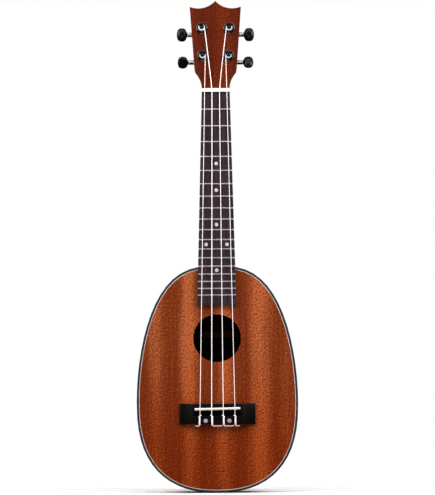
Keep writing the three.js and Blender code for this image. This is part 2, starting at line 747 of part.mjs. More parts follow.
// A string: tied round the bridge's tie block, over the saddle and the nut, and wound on its post.
function string({ diameter, atNut, atSaddle, tuner }) {
  const radius = diameter / 2;
  const lift = radius + STRING_GAP;
  const { bottom, height, channel, tieHole } = BRIDGE;
  const overTie = above(height + lift + TIE.clear);
  const behindTie = bottom - lift - TIE.behind;
  const inHole = above(tieHole.height);
  const overSaddle = above(SADDLE.top) - lift;
  const saddleZ = atSaddle * SADDLE.slant;
  const points = [
    [atSaddle, overTie + TIE.end.up, channel.bottom + TIE.end.past],
    [atSaddle, overTie, channel.bottom - TIE.upperEdge],
    [atSaddle, overTie, bottom + TIE.lowerEdge.before],
    [atSaddle, above(height - TIE.lowerEdge.below), behindTie],
    [atSaddle, above(tieHole.height + TIE.bulge.aboveHole), behindTie - TIE.bulge.out],
    [atSaddle, inHole, bottom - TIE.holeMouth],
    [atSaddle, inHole, channel.bottom],
    [atSaddle, overSaddle + SADDLE_BREAK.down, saddleZ - SADDLE_BREAK.along],
    [atSaddle, overSaddle, saddleZ],
  ].map((place) => new THREE.Vector3(...place));
  const atNutHeight = FRONT_Y - BOARD.thickness - ACTION_AT_NUT - radius;
  points.push(new THREE.Vector3(atNut, atNutHeight, NUT_Z + NUT_BREAK.before));
  const overNut = new THREE.Vector3(atNut, atNutHeight + NUT_BREAK.down, HEAD.z + NUT_BREAK.past);
  points.push(overNut);

  const post = TUNERS[tuner];
  const side = Math.sign(post.u);
  const { turns, steps, aboveWaist, spacing } = WINDING;
  // The winding is drawn with straight steps, which have to clear the post at their middles.
  const windRadius = (POST.waist + radius + RUNNING_GAP) / Math.cos(Math.PI / steps);
  const start = overNut.clone().applyMatrix4(HEAD_FRAME.clone().invert());
  const first = tangentAngle(start, post, windRadius, -side);
  const lowest = POST.waistFrom + aboveWaist + radius;
  const pitch = diameter + spacing;
  for (let i = 0; i <= turns * steps; i++) {
    const angle = first - (side * 2 * Math.PI * i) / steps;
    const w = lowest + (pitch * i) / steps;
    points.push(onHead(post.u + windRadius * Math.cos(angle), post.v + windRadius * Math.sin(angle), w));
  }
  return cord(points, radius, STRING_SIDES);
}

// ---------------------------------------------------------------- tuning machines

// The tuner pieces are drawn about the axis of the post. Side is +1 for a button on the right, -1 for one on
// the left. The left-hand case and button are mirrored, but the worm's thread is right-handed on both sides.

function gearOutline() {
  const points = [];
  const { teeth, tip, root, halfTip, halfRoot, pitchRadius } = GEAR;
  for (let i = 0; i < teeth; i++) {
    const middle = (2 * Math.PI * i) / teeth - Math.PI / 2;
    const corners = [[root, -halfRoot], [tip, -halfTip], [tip, halfTip], [root, halfRoot]];
    for (const [radius, offset] of corners) {
      const angle = middle + offset / pitchRadius;
      points.push([radius * Math.cos(angle), radius * Math.sin(angle)]);
    }
  }
  return points;
}

// The string post: gear wheel and bottom pivot in the housing, waist for the string, dished top.
function stringPost() {
  const low = WORM.w - GEAR.thickness / 2;
  const high = WORM.w + GEAR.thickness / 2;
  const wheel = bar(gearOutline(), low, high, (u, v, w) => [u, v, w]);
  const { radius, waist, waistFrom, waistTo, flare, top, bevel } = POST;
  const spindle = turned(
    [
      [0, low - PIVOT.length],
      [PIVOT.radius, low - PIVOT.length],
      [PIVOT.radius, high - bevel],
      [radius, high],
      [radius, waistFrom],
      [waist, waistFrom + bevel],
      [waist, waistTo - bevel],
      [flare, waistTo],
      [flare, top - bevel],
      [flare - bevel, top],
      [DISH.radius, top],
      [DISH.radius - bevel, top - DISH.depth],
      [0, top - DISH.depth],
    ],
    16,
  );
  return join(spindle, wheel);
}

// How far the worm's surface stands from its axis: the thread's ridge comes round once per pitch.
function wormRadius(phase) {
  const fromRidge = Math.abs(phase - Math.round(phase)) * WORM.pitch;
  const share = THREE.MathUtils.clamp((WORM.ridgeFoot - fromRidge) / (WORM.ridgeFoot - WORM.ridgeTop), 0, 1);
  return WORM.core + share * (WORM.tip - WORM.core);
}

// Half the length of the threaded part, and the journal that turns in the housing's inner wall.
const WORM_HALF = (WORM.turns * WORM.pitch) / 2;
const JOURNAL = { radius: WORM.core - 0.1, length: 2 };

// The worm with its journal and its shaft. A gap in the thread faces the gear at rest.
function wormShaft(side) {
  const { steps, turns, pitch, core, w, drop } = WORM;
  const ringAt = (along, radiusOf) =>
    circle(1, steps).map(([a, b], k) => new THREE.Vector3(along, radiusOf(k) * a, radiusOf(k) * b));
  const rings = [
    ringAt(-side * (WORM_HALF + JOURNAL.length), () => JOURNAL.radius),
    ringAt(-side * WORM_HALF, () => JOURNAL.radius),
    ringAt(-side * WORM_HALF, () => core),
  ];
  for (let i = 1; i < turns * steps; i++) {
    const along = side * ((i / steps) * pitch - WORM_HALF);
    rings.push(ringAt(along, (k) => wormRadius(along / pitch - k / steps + 0.5)));
  }
  rings.push(ringAt(side * WORM_HALF, () => core));
  rings.push(ringAt(side * (WORM_HALF + ROOM.ends), () => SHAFT.radius));
  rings.push(ringAt(side * SHAFT.end, () => SHAFT.radius));
  const outline = circle(1, steps).map(([a, b]) => new THREE.Vector2(a, b));
  return skin(rings, outline).translate(0, -drop, w);
}

// A flat oval button on a short collar, drilled for the shaft.
function button(side, turnedBy) {
  const { start, end, halfHeight, halfThickness, endHeight, endThickness } = BUTTON;
  const sides = 16;
  const ovalStart = start + COLLAR.length;
  // 0 at both ends and 1 in the middle; a higher power makes the oval squarer.
  const swell = (t, power) => (1 - Math.abs(2 * t - 1) ** power) ** (1 / power);
  const ringAt = (u, height, thickness) =>
    circle(1, sides).map(([a, b]) => new THREE.Vector3(u, height * a, thickness * b));
  const rings = [start, ovalStart].map((u) => ringAt(u, COLLAR.radius, COLLAR.radius));
  const steps = 11;
  for (let i = 1; i < steps; i++) {
    const t = (1 - Math.cos((Math.PI * i) / steps)) / 2;
    const u = ovalStart + t * (end - ovalStart);
    rings.push(ringAt(u, halfHeight * swell(t, 2.6), halfThickness * swell(t, 3)));
  }
  rings.push(ringAt(end, endHeight, endThickness));
  const body = skin(rings, circle(1, sides).map(([a, b]) => new THREE.Vector2(a, b)));
  const bore = rod(SHAFT.radius + SEAT_GAP, start - 1, SHAFT.end + 0.2, 16);
  const drilled = cut(body, bore).rotateX(THREE.MathUtils.degToRad(turnedBy));
  return closed(drilled.scale(side, 1, 1).translate(0, -WORM.drop, WORM.w));
}

function roundedRectangle(x0, x1, y0, y1, radius) {
  const shape = new THREE.Shape();
  shape.absarc(x1 - radius, y1 - radius, radius, 0, Math.PI / 2, false);
  shape.absarc(x0 + radius, y1 - radius, radius, Math.PI / 2, Math.PI, false);
  shape.absarc(x0 + radius, y0 + radius, radius, Math.PI, 1.5 * Math.PI, false);
  shape.absarc(x1 - radius, y0 + radius, radius, 1.5 * Math.PI, 2 * Math.PI, false);
  return shape;
}

// The cast case behind the headstock: rooms for gear and worm, bearings, and a snout round the shaft.
function housing(side) {
  const { half, up, down, depth, corner, edge } = HOUSING;
  const front = -HEAD.thickness - SEAT_GAP;
  const low = WORM.w - GEAR.thickness / 2;
  const high = WORM.w + GEAR.thickness / 2;
  const block = new THREE.ExtrudeGeometry(roundedRectangle(-half, half, -down, up, corner), {
    depth: depth - 2 * edge,
    bevelThickness: edge,
    bevelSize: edge,
    bevelOffset: -edge,
    bevelSegments: 1,
    curveSegments: 2,
  }).translate(0, 0, front - depth + edge);
  const onWormAxis = (geometry) => geometry.translate(0, -WORM.drop, WORM.w);
  const gearRoom = cylinder(GEAR.tip + ROOM.around, low - ROOM.ends, high + ROOM.ends, 20);
  const postHole = cylinder(POST.radius + RUNNING_GAP, WORM.w, front + 1, 20);
  const pivotHole = cylinder(PIVOT.radius + RUNNING_GAP, low - PIVOT.length - ROOM.ends, WORM.w, 16);
  const wormEnd = WORM_HALF + ROOM.ends;
  const wormRoom = onWormAxis(rod(WORM.tip + ROOM.around, -wormEnd, wormEnd, 16));
  const journalHole = onWormAxis(rod(JOURNAL.radius + RUNNING_GAP, -wormEnd - JOURNAL.length, 0, 16));
  const shaftHole = onWormAxis(rod(SHAFT.radius + RUNNING_GAP, 0, SNOUT.end + 1, 16));
  const outside = join(block, onWormAxis(rod(SNOUT.radius, 0, SNOUT.end, 16)));
  const made = cut(outside, gearRoom, postHole, pivotHole, wormRoom, journalHole, shaftHole);
  return closed(made.scale(side, 1, 1));
}

// The threaded bushing with its washer and hexagonal head, screwed in from the face of the headstock.
function bushing() {
  const { sleeve, washer, hexAcross, washerThickness, hexThickness, depth, ease } = BUSHING;
  const washerTop = SEAT_GAP + washerThickness;
  const hexTop = washerTop + hexThickness;
  const body = turned(
    [
      [0, -depth],
      [sleeve, -depth],
      [sleeve, SEAT_GAP],
      [washer - ease, SEAT_GAP],
      [washer, SEAT_GAP + ease],
      [washer - ease, washerTop],
      [0, washerTop],
    ],
    20,
  );
  const hexRadius = hexAcross / Math.sqrt(3);
  const hexagon = cylinder(hexRadius, SEAT_GAP + washerThickness / 2, hexTop, 6);
  const bore = cylinder(POST.radius + RUNNING_GAP, -depth - 1, hexTop + 1, 20);
  return cut(join(body, hexagon), bore);
}

// ---------------------------------------------------------------- assembly

const ukulele = new THREE.Group();
ukulele.name = "ukulele";

function add(name, geometry, look, parent = ukulele) {
  const mesh = new THREE.Mesh(geometry, new THREE.MeshStandardMaterial(look));
  mesh.geometry.computeVertexNormals();
  mesh.name = name;
  parent.add(mesh);
}

function addBody() {
  add("soundboard", soundboard(), WOOD);
  add("back_plate", backPlate(), WOOD);
  add("side_band", sideBand(), WOOD);
  add("top_lining", lining(fromFront), PALE_WOOD);
  add("back_lining", lining(fromBack), PALE_WOOD);
  add("top_binding", binding(fromFront), BLACK_PLASTIC);
  add("back_binding", binding(fromBack), BLACK_PLASTIC);
  add("neck_block", neckBlock(), PALE_WOOD);
  add("tail_block", tailBlock(), PALE_WOOD);
  const belowHole = SOUNDHOLE.z - SOUNDHOLE.radius / 2 - SOUNDHOLE.radius;
  add("top_brace", brace(belowHole, fromFront(INSIDE), 1), PALE_WOOD);
  add("back_brace", brace(SOUNDHOLE.z + BRACE.width / 2, fromBack(INSIDE), -1), PALE_WOOD);
}

function addNeck() {
  add("neck", neck(), NECK_WOOD);
  add("fretboard", fretboard(), FRETBOARD_WOOD);
  add("string_nut", stringNut(), WHITE_PLASTIC);
  for (let number = 1; number <= FRET.count; number++) {
    add(`fret_${String(number).padStart(2, "0")}`, fret(number), CHROME);
  }
}

function addBridge() {
  add("bridge", bridge(), BLACK_WOOD);
  add("saddle", saddle(), WHITE_PLASTIC);
  add("bridge_bolt_left", bridgeBolt(-BRIDGE.bolt.x), CHROME);
  add("bridge_bolt_right", bridgeBolt(BRIDGE.bolt.x), CHROME);
}

function addTuner(place, { u, v, turned: turnedBy }) {
  const side = Math.sign(u);
  const group = new THREE.Group();
  group.position.set(u, v, 0);
  add(`tuner_housing_${place}`, housing(side), CHROME, group);
  add(`tuner_bushing_${place}`, bushing(), CHROME, group);
  add(`tuner_post_${place}`, stringPost(), CHROME, group);
  add(`tuner_worm_${place}`, wormShaft(side), BRASS, group);
  add(`tuner_button_${place}`, button(side, turnedBy), BLACK_PLASTIC, group);
  return group;
}

addBody();
addNeck();
addBridge();
for (const each of STRINGS) {
  add(each.name, string(each), NYLON);
}

const headstock = new THREE.Group();
HEAD_FRAME.decompose(headstock.position, headstock.quaternion, headstock.scale);
for (const [place, tuner] of Object.entries(TUNERS)) {
  headstock.add(addTuner(place, tuner));
}
ukulele.add(headstock);

export default ukulele;
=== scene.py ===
"""Looks for a concert ukulele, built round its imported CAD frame.

The CAD pieces keep their shapes and get softened edges and procedural materials. Small pieces that the
frame leaves out are modelled here in mesh code: the purfling, the position dots, the string ties and the
screws. Lengths are in metres in the frame's own axes: +Z up the neck, -Y out of the soundboard and +X to
the right. Inside the materials, lengths are in millimetres.
"""

import json
import math

import bmesh
import bpy
from mathutils import Matrix, Vector


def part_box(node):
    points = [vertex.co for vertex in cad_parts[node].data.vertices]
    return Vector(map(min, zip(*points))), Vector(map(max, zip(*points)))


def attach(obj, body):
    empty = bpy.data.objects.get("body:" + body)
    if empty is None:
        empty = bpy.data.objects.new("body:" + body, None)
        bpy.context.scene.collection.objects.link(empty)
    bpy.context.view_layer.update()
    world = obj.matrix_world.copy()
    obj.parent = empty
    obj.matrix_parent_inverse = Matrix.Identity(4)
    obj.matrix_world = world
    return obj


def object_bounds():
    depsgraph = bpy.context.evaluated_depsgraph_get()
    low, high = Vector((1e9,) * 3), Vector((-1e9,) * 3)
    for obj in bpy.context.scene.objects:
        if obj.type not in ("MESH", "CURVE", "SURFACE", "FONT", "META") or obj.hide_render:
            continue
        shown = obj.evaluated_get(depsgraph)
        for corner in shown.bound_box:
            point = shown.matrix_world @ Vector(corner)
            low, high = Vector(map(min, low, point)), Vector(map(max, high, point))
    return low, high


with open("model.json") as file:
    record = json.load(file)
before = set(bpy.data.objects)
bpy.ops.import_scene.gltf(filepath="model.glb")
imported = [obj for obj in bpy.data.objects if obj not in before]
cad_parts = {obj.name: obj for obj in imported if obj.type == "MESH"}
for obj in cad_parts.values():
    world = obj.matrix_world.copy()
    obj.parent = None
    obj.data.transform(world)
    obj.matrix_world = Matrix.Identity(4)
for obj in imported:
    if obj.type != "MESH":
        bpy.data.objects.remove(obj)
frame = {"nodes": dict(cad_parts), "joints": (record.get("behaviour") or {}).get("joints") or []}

MM = 0.001
NODES = frame["nodes"]
JOINTS = {joint["name"]: joint for joint in frame["joints"]}
CAD_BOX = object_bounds()
PLACES = ("upper_left", "upper_right", "lower_left", "lower_right")
STRING_NAMES = ("string_g", "string_c", "string_e", "string_a")

# Where the front faces of the soundboard and the fretboard lie.
FACE_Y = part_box("soundboard")[0].y
BOARD_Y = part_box("fretboard")[0].y


def middle(node):
    """The middle of a CAD node's box."""
    low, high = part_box(node)
    return (low + high) / 2


# ---------------------------------------------------------------- node trees


class NodeTree:
    """The node tree of a material or a world. Its methods add nodes and return an output socket."""

    def __init__(self, owner):
        self.owner = owner
        self.nodes = owner.node_tree.nodes
        self.links = owner.node_tree.links

    def add(self, kind, inputs, output=0, **settings):
        node = self.nodes.new(kind)
        for key, value in settings.items():
            setattr(node, key, value)
        for key, value in inputs.items():
            self.put(node.inputs[key], value)
        return node.outputs[output]

    def put(self, socket, value):
        """Links a socket to another one, or gives it a fixed value."""
        if isinstance(value, bpy.types.NodeSocket):
            self.links.new(value, socket)
        else:
            socket.default_value = value

    def end(self, kind, surface):
        """Adds the output node that the tree ends in."""
        self.put(self.nodes.new(kind).inputs["Surface"], surface)

    def math(self, operation, first, second=0.0, clamp=False):
        inputs = {0: first, 1: second}
        return self.add("ShaderNodeMath", inputs, operation=operation, use_clamp=clamp)

    def plus(self, first, second, clamp=False):
        return self.math("ADD", first, second, clamp)

    def times(self, first, second, clamp=False):
        return self.math("MULTIPLY", first, second, clamp)

    def scaled(self, value, factor, offset=0.0):
        return self.plus(self.times(value, factor), offset)

    def centred(self, noise, swing):
        """Noise from 0 to 1, turned into a swing about zero."""
        return self.scaled(noise, swing, -swing / 2)

    def between(self, value, low, high):
        """0 at low, 1 at high, smooth in between and level beyond. High may be the smaller one."""
        inputs = {"Value": value, "From Min": low, "From Max": high}
        return self.add("ShaderNodeMapRange", inputs, interpolation_type="SMOOTHSTEP")

    def split(self, vector):
        """The x, y and z of a vector."""
        node = self.nodes.new("ShaderNodeSeparateXYZ")
        self.put(node.inputs[0], vector)
        return tuple(node.outputs)

    def place(self):
        """The point's x, y and z in the frame, in millimetres."""
        point = self.add("ShaderNodeTexCoord", {}, "Object")
        inputs = {"Vector": point, "Scale": 1 / MM}
        return self.split(self.add("ShaderNodeVectorMath", inputs, operation="SCALE"))

    def noise(self, point, per_mm, detail=2.0, roughness=0.5):
        """Noise from 0 to 1 at a point. per_mm is its fineness, alike or different along the three axes."""
        factors = per_mm if isinstance(per_mm, tuple) else (per_mm,) * 3
        steps = [self.scaled(value, factor) for value, factor in zip(point, factors)]
        vector = self.add("ShaderNodeCombineXYZ", dict(enumerate(steps)))
        inputs = {"Vector": vector, "Scale": 1.0, "Detail": detail, "Roughness": roughness}
        return self.add("ShaderNodeTexNoise", inputs)

    def mix(self, factor, first, second, blend="MIX"):
        """A mix of two colours, whose sockets go by number because others share their names."""
        inputs = {0: factor, 6: first, 7: second}
        return self.add("ShaderNodeMix", inputs, 2, data_type="RGBA", blend_type=blend)

    def bump(self, height, depth_mm):
        return self.add("ShaderNodeBump", {"Height": height, "Distance": depth_mm * MM})

    def finish(self, **inputs):
        """Ends a material in a principled surface; input names have underscores for their spaces."""
        named = {key.replace("_", " "): value for key, value in inputs.items()}
        self.end("ShaderNodeOutputMaterial", self.add("ShaderNodeBsdfPrincipled", named))
        return self.owner


def new_tree(name):
    """The empty node tree of a new material."""
    material = bpy.data.materials.new(name)
    material.use_nodes = True
    material.node_tree.nodes.clear()
    return NodeTree(material)


def linear(red, green, blue):
    """A colour given in 0 to 255 screen values, as the linear values that shaders use."""

    def one(value):
        share = value / 255
        return share / 12.92 if share <= 0.04045 else ((share + 0.055) / 1.055) ** 2.4

    return one(red), one(green), one(blue), 1.0


def darker(colour, share):
    """A colour with this share of its brightness left."""
    return tuple(share * value for value in colour[:3]) + (1.0,)


BLACK = (0.0, 0.0, 0.0, 1.0)
WHITE = (1.0, 1.0, 1.0, 1.0)


# ---------------------------------------------------------------- lacquered wood

# The ribbon figure, in millimetres: the distance from one pale band to the next, how far right of the
# centre line one of them lies, and how far their edges wander.
RIBBON_SPACING = 42.0
RIBBON_OFFSET = 9.0
RIBBON_WANDER = 14.0

# Where the ribbons go from faint to full: in from both edges, up from the lower left, and where they go
# from narrow to wide: left to right.
RIBBON_EDGE_FADE = (92.0, 64.0)
RIBBON_LOW_FADE = (-115.0, 10.0)
RIBBON_WIDENING = (15.0, 50.0)

# Painted shade, darker and redder towards the tail: between these heights the colour comes to this tint.
PAINTED_SHADE_HEIGHTS = (90.0, -60.0)
PAINTED_SHADE_TINT = (0.98, 0.7, 0.38, 1.0)

# The side's grain runs round the body: about this height, at about this distance.
SIDE_CENTRE = 20.0
SIDE_RADIUS = 110.0


def upright(tree, x, y, z):
    """How far across and along the grain a place is, on pieces with the grain running up the instrument."""
    return x, z


def round_body(tree, x, y, z):
    """How far across and along the grain a place is on the side, measured round from the tail."""
    turn = tree.math("ARCTAN2", x, tree.math("SUBTRACT", SIDE_CENTRE, z))
    return y, tree.times(turn, SIDE_RADIUS)


def ribbons(tree, across, along, shift):
    """How strongly the pale ribbons show, from 0 to 1. Their strength changes from one to the next."""
    wander = tree.noise((across, along, 0.0), (0.02, 0.008, 1.0))
    offset = shift - RIBBON_OFFSET - RIBBON_WANDER / 2
    shifted = tree.plus(across, tree.scaled(wander, RIBBON_WANDER, offset))
    wave = tree.math("COSINE", tree.times(shifted, 2 * math.pi / RIBBON_SPACING))
    narrowness = tree.scaled(tree.between(across, *RIBBON_WIDENING), -1.3, 2.3)
    band = tree.math("POWER", tree.scaled(wave, 0.5, 0.5), narrowness)

    fullness = tree.noise((across, along, 7.3), (0.03, 0.004, 1.0), 1.0)
    band = tree.times(band, tree.plus(fullness, 0.5), clamp=True)
    raised = tree.between(tree.plus(along, across), *RIBBON_LOW_FADE)
    band = tree.times(band, tree.scaled(raised, 0.65, 0.35))
    inboard = tree.between(tree.math("ABSOLUTE", across), *RIBBON_EDGE_FADE)
    return tree.times(band, tree.scaled(inboard, 0.9, 0.1))


def wood(name, dark, light, lay=upright, ribbon=1.0, grain=1.0, roughness=0.36, coat=0.35, shift=0.0):
    """Open-pored wood under satin lacquer. lay says how far across and along the grain a place is."""
    tree = new_tree(name)
    x, y, z = tree.place()
    across, along = lay(tree, x, y, z)

    # Long streaks of growth, fine fibres, short dark pores, and a slanting sparkle.
    streaks = tree.noise((across, along, 2.0), (0.45, 0.008, 1.0), 5.0, 0.6)
    fibres = tree.noise((across, along, 5.0), (2.2, 0.06, 1.0), 3.0, 0.6)
    pores = tree.between(tree.noise((across, along, 11.0), (3.4, 0.42, 1.0)), 0.58, 0.72)
    slanted = tree.plus(across, tree.times(along, 0.35))
    sparkle = tree.noise((slanted, along, 17.0), (0.6, 0.45, 1.0), 3.0, 0.75)

    # The tone goes from dark to light. The sparkle shows most in the ribbons.
    band = ribbons(tree, across, along, shift)
    tone = tree.scaled(band, 0.68 * ribbon, 0.08)
    tone = tree.plus(tone, tree.centred(streaks, 0.6 * grain))
    tone = tree.plus(tone, tree.centred(fibres, 0.35 * grain))
    glitter = tree.times(tree.centred(sparkle, 4.0), tree.scaled(band, 0.9 * ribbon, 0.5 * grain))
    tone = tree.plus(tone, glitter, clamp=True)

    colour = tree.mix(tone, dark, light)
    # Painted shade: the colour darkens and reddens towards the tail.
    colour = tree.mix(tree.between(z, *PAINTED_SHADE_HEIGHTS), colour, PAINTED_SHADE_TINT, "MULTIPLY")
    colour = tree.mix(tree.times(pores, 0.45), colour, darker(dark, 0.25))
    surface = tree.plus(tree.times(fibres, 0.5), tree.times(pores, -0.6))
    return tree.finish(
        Base_Color=colour,
        Roughness=tree.scaled(fibres, 0.16, roughness - 0.08),
        Coat_Weight=coat,
        Coat_Roughness=0.11,
        Specular_IOR_Level=0.08,
        Normal=tree.bump(surface, 0.03),
    )


def painted_shade_inside(name, outer):
    """A copy of the back's wood whose hidden inner face is painted near black as shade inside the body,
    bare of lacquer and shine.
    """
    tree = NodeTree(outer.copy())
    tree.owner.name = name
    shader = next(node for node in tree.nodes if node.type == "BSDF_PRINCIPLED")
    normal = tree.add("ShaderNodeNewGeometry", {}, "True Normal")
    inner = tree.math("LESS_THAN", tree.split(normal)[1], -0.5)
    lacquered = shader.inputs["Base Color"].links[0].from_socket
    # Painted shade: the inner face is coloured near black for the shade inside the body.
    tree.put(shader.inputs["Base Color"], tree.mix(inner, lacquered, linear(26, 17, 12)))
    for shine in ("Coat Weight", "Specular IOR Level"):
        level = shader.inputs[shine].default_value
        tree.put(shader.inputs[shine], tree.scaled(inner, -level, level))
    return tree.owner


# ---------------------------------------------------------------- other materials


def oiled_wood(name, dark, light):
    """Dense dark wood: fine streaks along the neck, open pores and a dull sheen that varies with wear."""
    tree = new_tree(name)
    x, y, z = tree.place()
    streaks = tree.noise((x, z, y), (0.8, 0.012, 0.3), 5.0, 0.65)
    pores = tree.between(tree.noise((x, z, y), (4.0, 0.3, 2.0)), 0.56, 0.7)
    wear = tree.noise((x, z, 3.0), (0.05, 0.02, 1.0))
    colour = tree.mix(tree.between(streaks, 0.36, 0.66), dark, light)
    surface = tree.plus(tree.times(streaks, 0.4), tree.times(pores, -0.7))
    return tree.finish(
        Base_Color=tree.mix(tree.times(pores, 0.6), colour, darker(dark, 0.3)),
        Roughness=tree.scaled(wear, 0.2, 0.3),
        Specular_IOR_Level=0.16,
        Normal=tree.bump(surface, 0.05),
    )


def moulded(name, base, shade, roughness, specular, clouding=0.25):
    """Polished plastic or bone: faint clouding in the colour, fine scratches in the shine."""
    tree = new_tree(name)
    point = tree.place()
    cloud = tree.noise(point, clouding, 3.0)
    scratches = tree.noise(point, (0.4, 3.0, 3.0), 4.0, 0.7)
    return tree.finish(
        Base_Color=tree.mix(tree.between(cloud, 0.35, 0.7), base, shade),
        Roughness=tree.scaled(scratches, 0.2, roughness - 0.1),
        Specular_IOR_Level=specular,
        Normal=tree.bump(tree.noise(point, 1.6, 3.0), 0.02),
    )


def metal(name, bright, dull, roughness, marks=1.5, metallic=1.0):
    """Plated or drawn metal: dull patches where it has been handled, and hair-fine marks."""
    tree = new_tree(name)
    point = tree.place()
    handled = tree.noise(point, 0.22, 3.0)
    fine = tree.noise(point, marks, 4.0, 0.7)
    wear = tree.plus(tree.scaled(fine, 0.12, -0.06), tree.times(handled, 0.08))
    return tree.finish(
        Base_Color=tree.mix(tree.between(handled, 0.4, 0.75), bright, dull),
        Metallic=metallic,
        Roughness=tree.plus(wear, roughness),
        Normal=tree.bump(fine, 0.006),
    )


def pearl(name):
    """Mother-of-pearl: wavy layers that drift between cream, pink and pale green."""
    tree = new_tree(name)
    layers = tree.noise(tree.place(), (0.5, 1.0, 0.9), 3.0, 0.6)
    colour = tree.mix(tree.between(layers, 0.3, 0.52), linear(198, 196, 194), linear(222, 212, 212))
    colour = tree.mix(tree.between(layers, 0.5, 0.7), colour, linear(190, 206, 200))
    return tree.finish(Base_Color=colour, Roughness=0.18, Coat_Weight=0.5, Normal=tree.bump(layers, 0.01))


def nylon(name):
    """White string nylon: faintly banded along its length, letting some light through, with a painted glow
    that brightens it.
    """
    tree = new_tree(name)
    point = tree.place()
    bands = tree.noise(point, (0.3, 0.3, 0.12), 3.0)
    banding = tree.between(bands, 0.35, 0.65)
    return tree.finish(
        Base_Color=tree.mix(banding, linear(255, 248, 248), linear(248, 232, 230)),
        Roughness=tree.scaled(bands, 0.1, 0.22),
        Subsurface_Weight=0.15,
        Subsurface_Radius=(1.0 * MM, 0.9 * MM, 0.8 * MM),
        # Painted light: the emission makes the nylon glow brighter than its lighting makes it.
        Emission_Color=(1.0, 0.94, 0.94, 1.0),
        Emission_Strength=0.6,
        Normal=tree.bump(tree.noise(point, 2.5), 0.004),
    )


BODY_DARK = linear(113, 41, 9)
BODY_LIGHT = linear(203, 108, 62)
NECK_DARK = linear(74, 18, 1)
NECK_LIGHT = linear(146, 54, 12)
# The bare, unlacquered wood inside the body is coloured darker than it is, as painted shade for the dark
# interior.
RAW_SHADED_DARK = linear(58, 38, 24)
RAW_SHADED_LIGHT = linear(92, 66, 44)

SOUNDBOARD = wood("soundboard_wood", BODY_DARK, BODY_LIGHT)
BACK_OUTER = wood("back_outer_wood", BODY_DARK, BODY_LIGHT, ribbon=0.7, shift=13.0)
BACK = painted_shade_inside("back_wood", BACK_OUTER)
SIDE = wood("side_wood", BODY_DARK, BODY_LIGHT, round_body, ribbon=0.45, shift=5.0)
NECK = wood("neck_wood", NECK_DARK, NECK_LIGHT, ribbon=0.35, grain=0.8, roughness=0.4)
RAW_SHADED_WOOD = wood("raw_shaded_wood", RAW_SHADED_DARK, RAW_SHADED_LIGHT, ribbon=0.2, roughness=0.8, coat=0.0)

FRETBOARD = oiled_wood("fretboard_wood", linear(38, 27, 31), linear(66, 51, 58))
BRIDGE = oiled_wood("bridge_wood", linear(6, 4, 4), linear(18, 12, 12))

BINDING = moulded("binding_black", linear(44, 42, 46), linear(66, 62, 68), 0.28, 0.4)
BUTTONS = moulded("button_black", linear(8, 8, 9), linear(18, 18, 20), 0.2, 0.3)
BONE = moulded("bone_white", linear(253, 250, 238), linear(244, 238, 218), 0.4, 0.5, 0.4)
PURFLING = moulded("purfling_grey", linear(222, 208, 202), linear(196, 180, 174), 0.5, 0.4, 0.15)

# Fret wire shows the marks of its drawing, which run along it.
WIRE_MARKS = (0.45, 3.0, 3.0)
FRET_WIRE = metal("fret_nickel", linear(216, 210, 212), linear(180, 174, 176), 0.26, WIRE_MARKS, 0.75)
CHROME = metal("tuner_chrome", linear(214, 215, 220), linear(176, 178, 184), 0.08)
BLACK_CHROME = metal("tuner_black_chrome", linear(122, 123, 128), linear(88, 90, 94), 0.1)
STEEL = metal("worm_steel", linear(176, 176, 182), linear(130, 130, 136), 0.35, 3.0)
SATIN = metal("bolt_satin_nickel", linear(190, 186, 190), linear(156, 152, 156), 0.5, 3.0, 0.3)

PEARL = pearl("dot_pearl")
NYLON = nylon("string_nylon")


# ---------------------------------------------------------------- CAD pieces

# For each kind of CAD node: its material and how wide its edges are softened, in millimetres.
LOOKS = {
    "soundboard": (SOUNDBOARD, 0.0),
    "back_plate": (BACK, 0.0),
    "side_band": (SIDE, 0.0),
    "top_lining": (RAW_SHADED_WOOD, 0.0),
    "back_lining": (RAW_SHADED_WOOD, 0.0),
    "neck_block": (RAW_SHADED_WOOD, 0.4),
    "tail_block": (RAW_SHADED_WOOD, 0.4),
    "top_brace": (RAW_SHADED_WOOD, 0.6),
    "back_brace": (RAW_SHADED_WOOD, 0.6),
    "top_binding": (BINDING, 0.0),
    "back_binding": (BINDING, 0.0),
    "neck": (NECK, 0.0),
    "fretboard": (FRETBOARD, 0.0),
    "string_nut": (BONE, 0.0),
    "bridge": (BRIDGE, 0.3),
    "saddle": (BONE, 0.3),
    "bridge_bolt": (SATIN, 0.0),
    "fret": (FRET_WIRE, 0.0),
    "string": (NYLON, 0.0),
    "tuner_housing": (CHROME, 0.0),
    "tuner_bushing": (BLACK_CHROME, 0.15),
    "tuner_post": (BLACK_CHROME, 0.0),
    "tuner_worm": (STEEL, 0.0),
    "tuner_button": (BUTTONS, 0.0),
}


def look_of(node):
    """The entry of LOOKS with the longest name that the node's name starts with."""
    matches = [kind for kind in LOOKS if node.startswith(kind)]
    return LOOKS[max(matches, key=len)]


def join_corners(node_object):
    """Shades the node smooth and joins corners that lie at the same place, by a modifier."""
    for polygon in node_object.data.polygons:
        polygon.use_smooth = True
    node_object.modifiers.new("weld", "WELD").merge_threshold = 0.002 * MM


def soften(node_object, width_mm):
    """Rounds the node's edges where a width is given, and keeps its sharp angles crisp."""
    if width_mm:
        bevel = node_object.modifiers.new("bevel", "BEVEL")
        bevel.width = width_mm * MM
        bevel.segments = 2
        bevel.limit_method = "ANGLE"
        bevel.angle_limit = math.radians(40)
    node_object.modifiers.new("split", "EDGE_SPLIT").split_angle = math.radians(32)


def round_off(node_object):
    """Turns the faceted cord of a string into a smooth one."""
    smooth = node_object.modifiers.new("smooth", "SUBSURF")
    smooth.levels = 1
    smooth.render_levels = 1


def dress_cad_nodes():
    for name, node_object in NODES.items():
        material, width = look_of(name)
        node_object.data.materials.clear()
        node_object.data.materials.append(material)
        join_corners(node_object)
        if name in STRING_NAMES:
            round_off(node_object)
        else:
            soften(node_object, width)


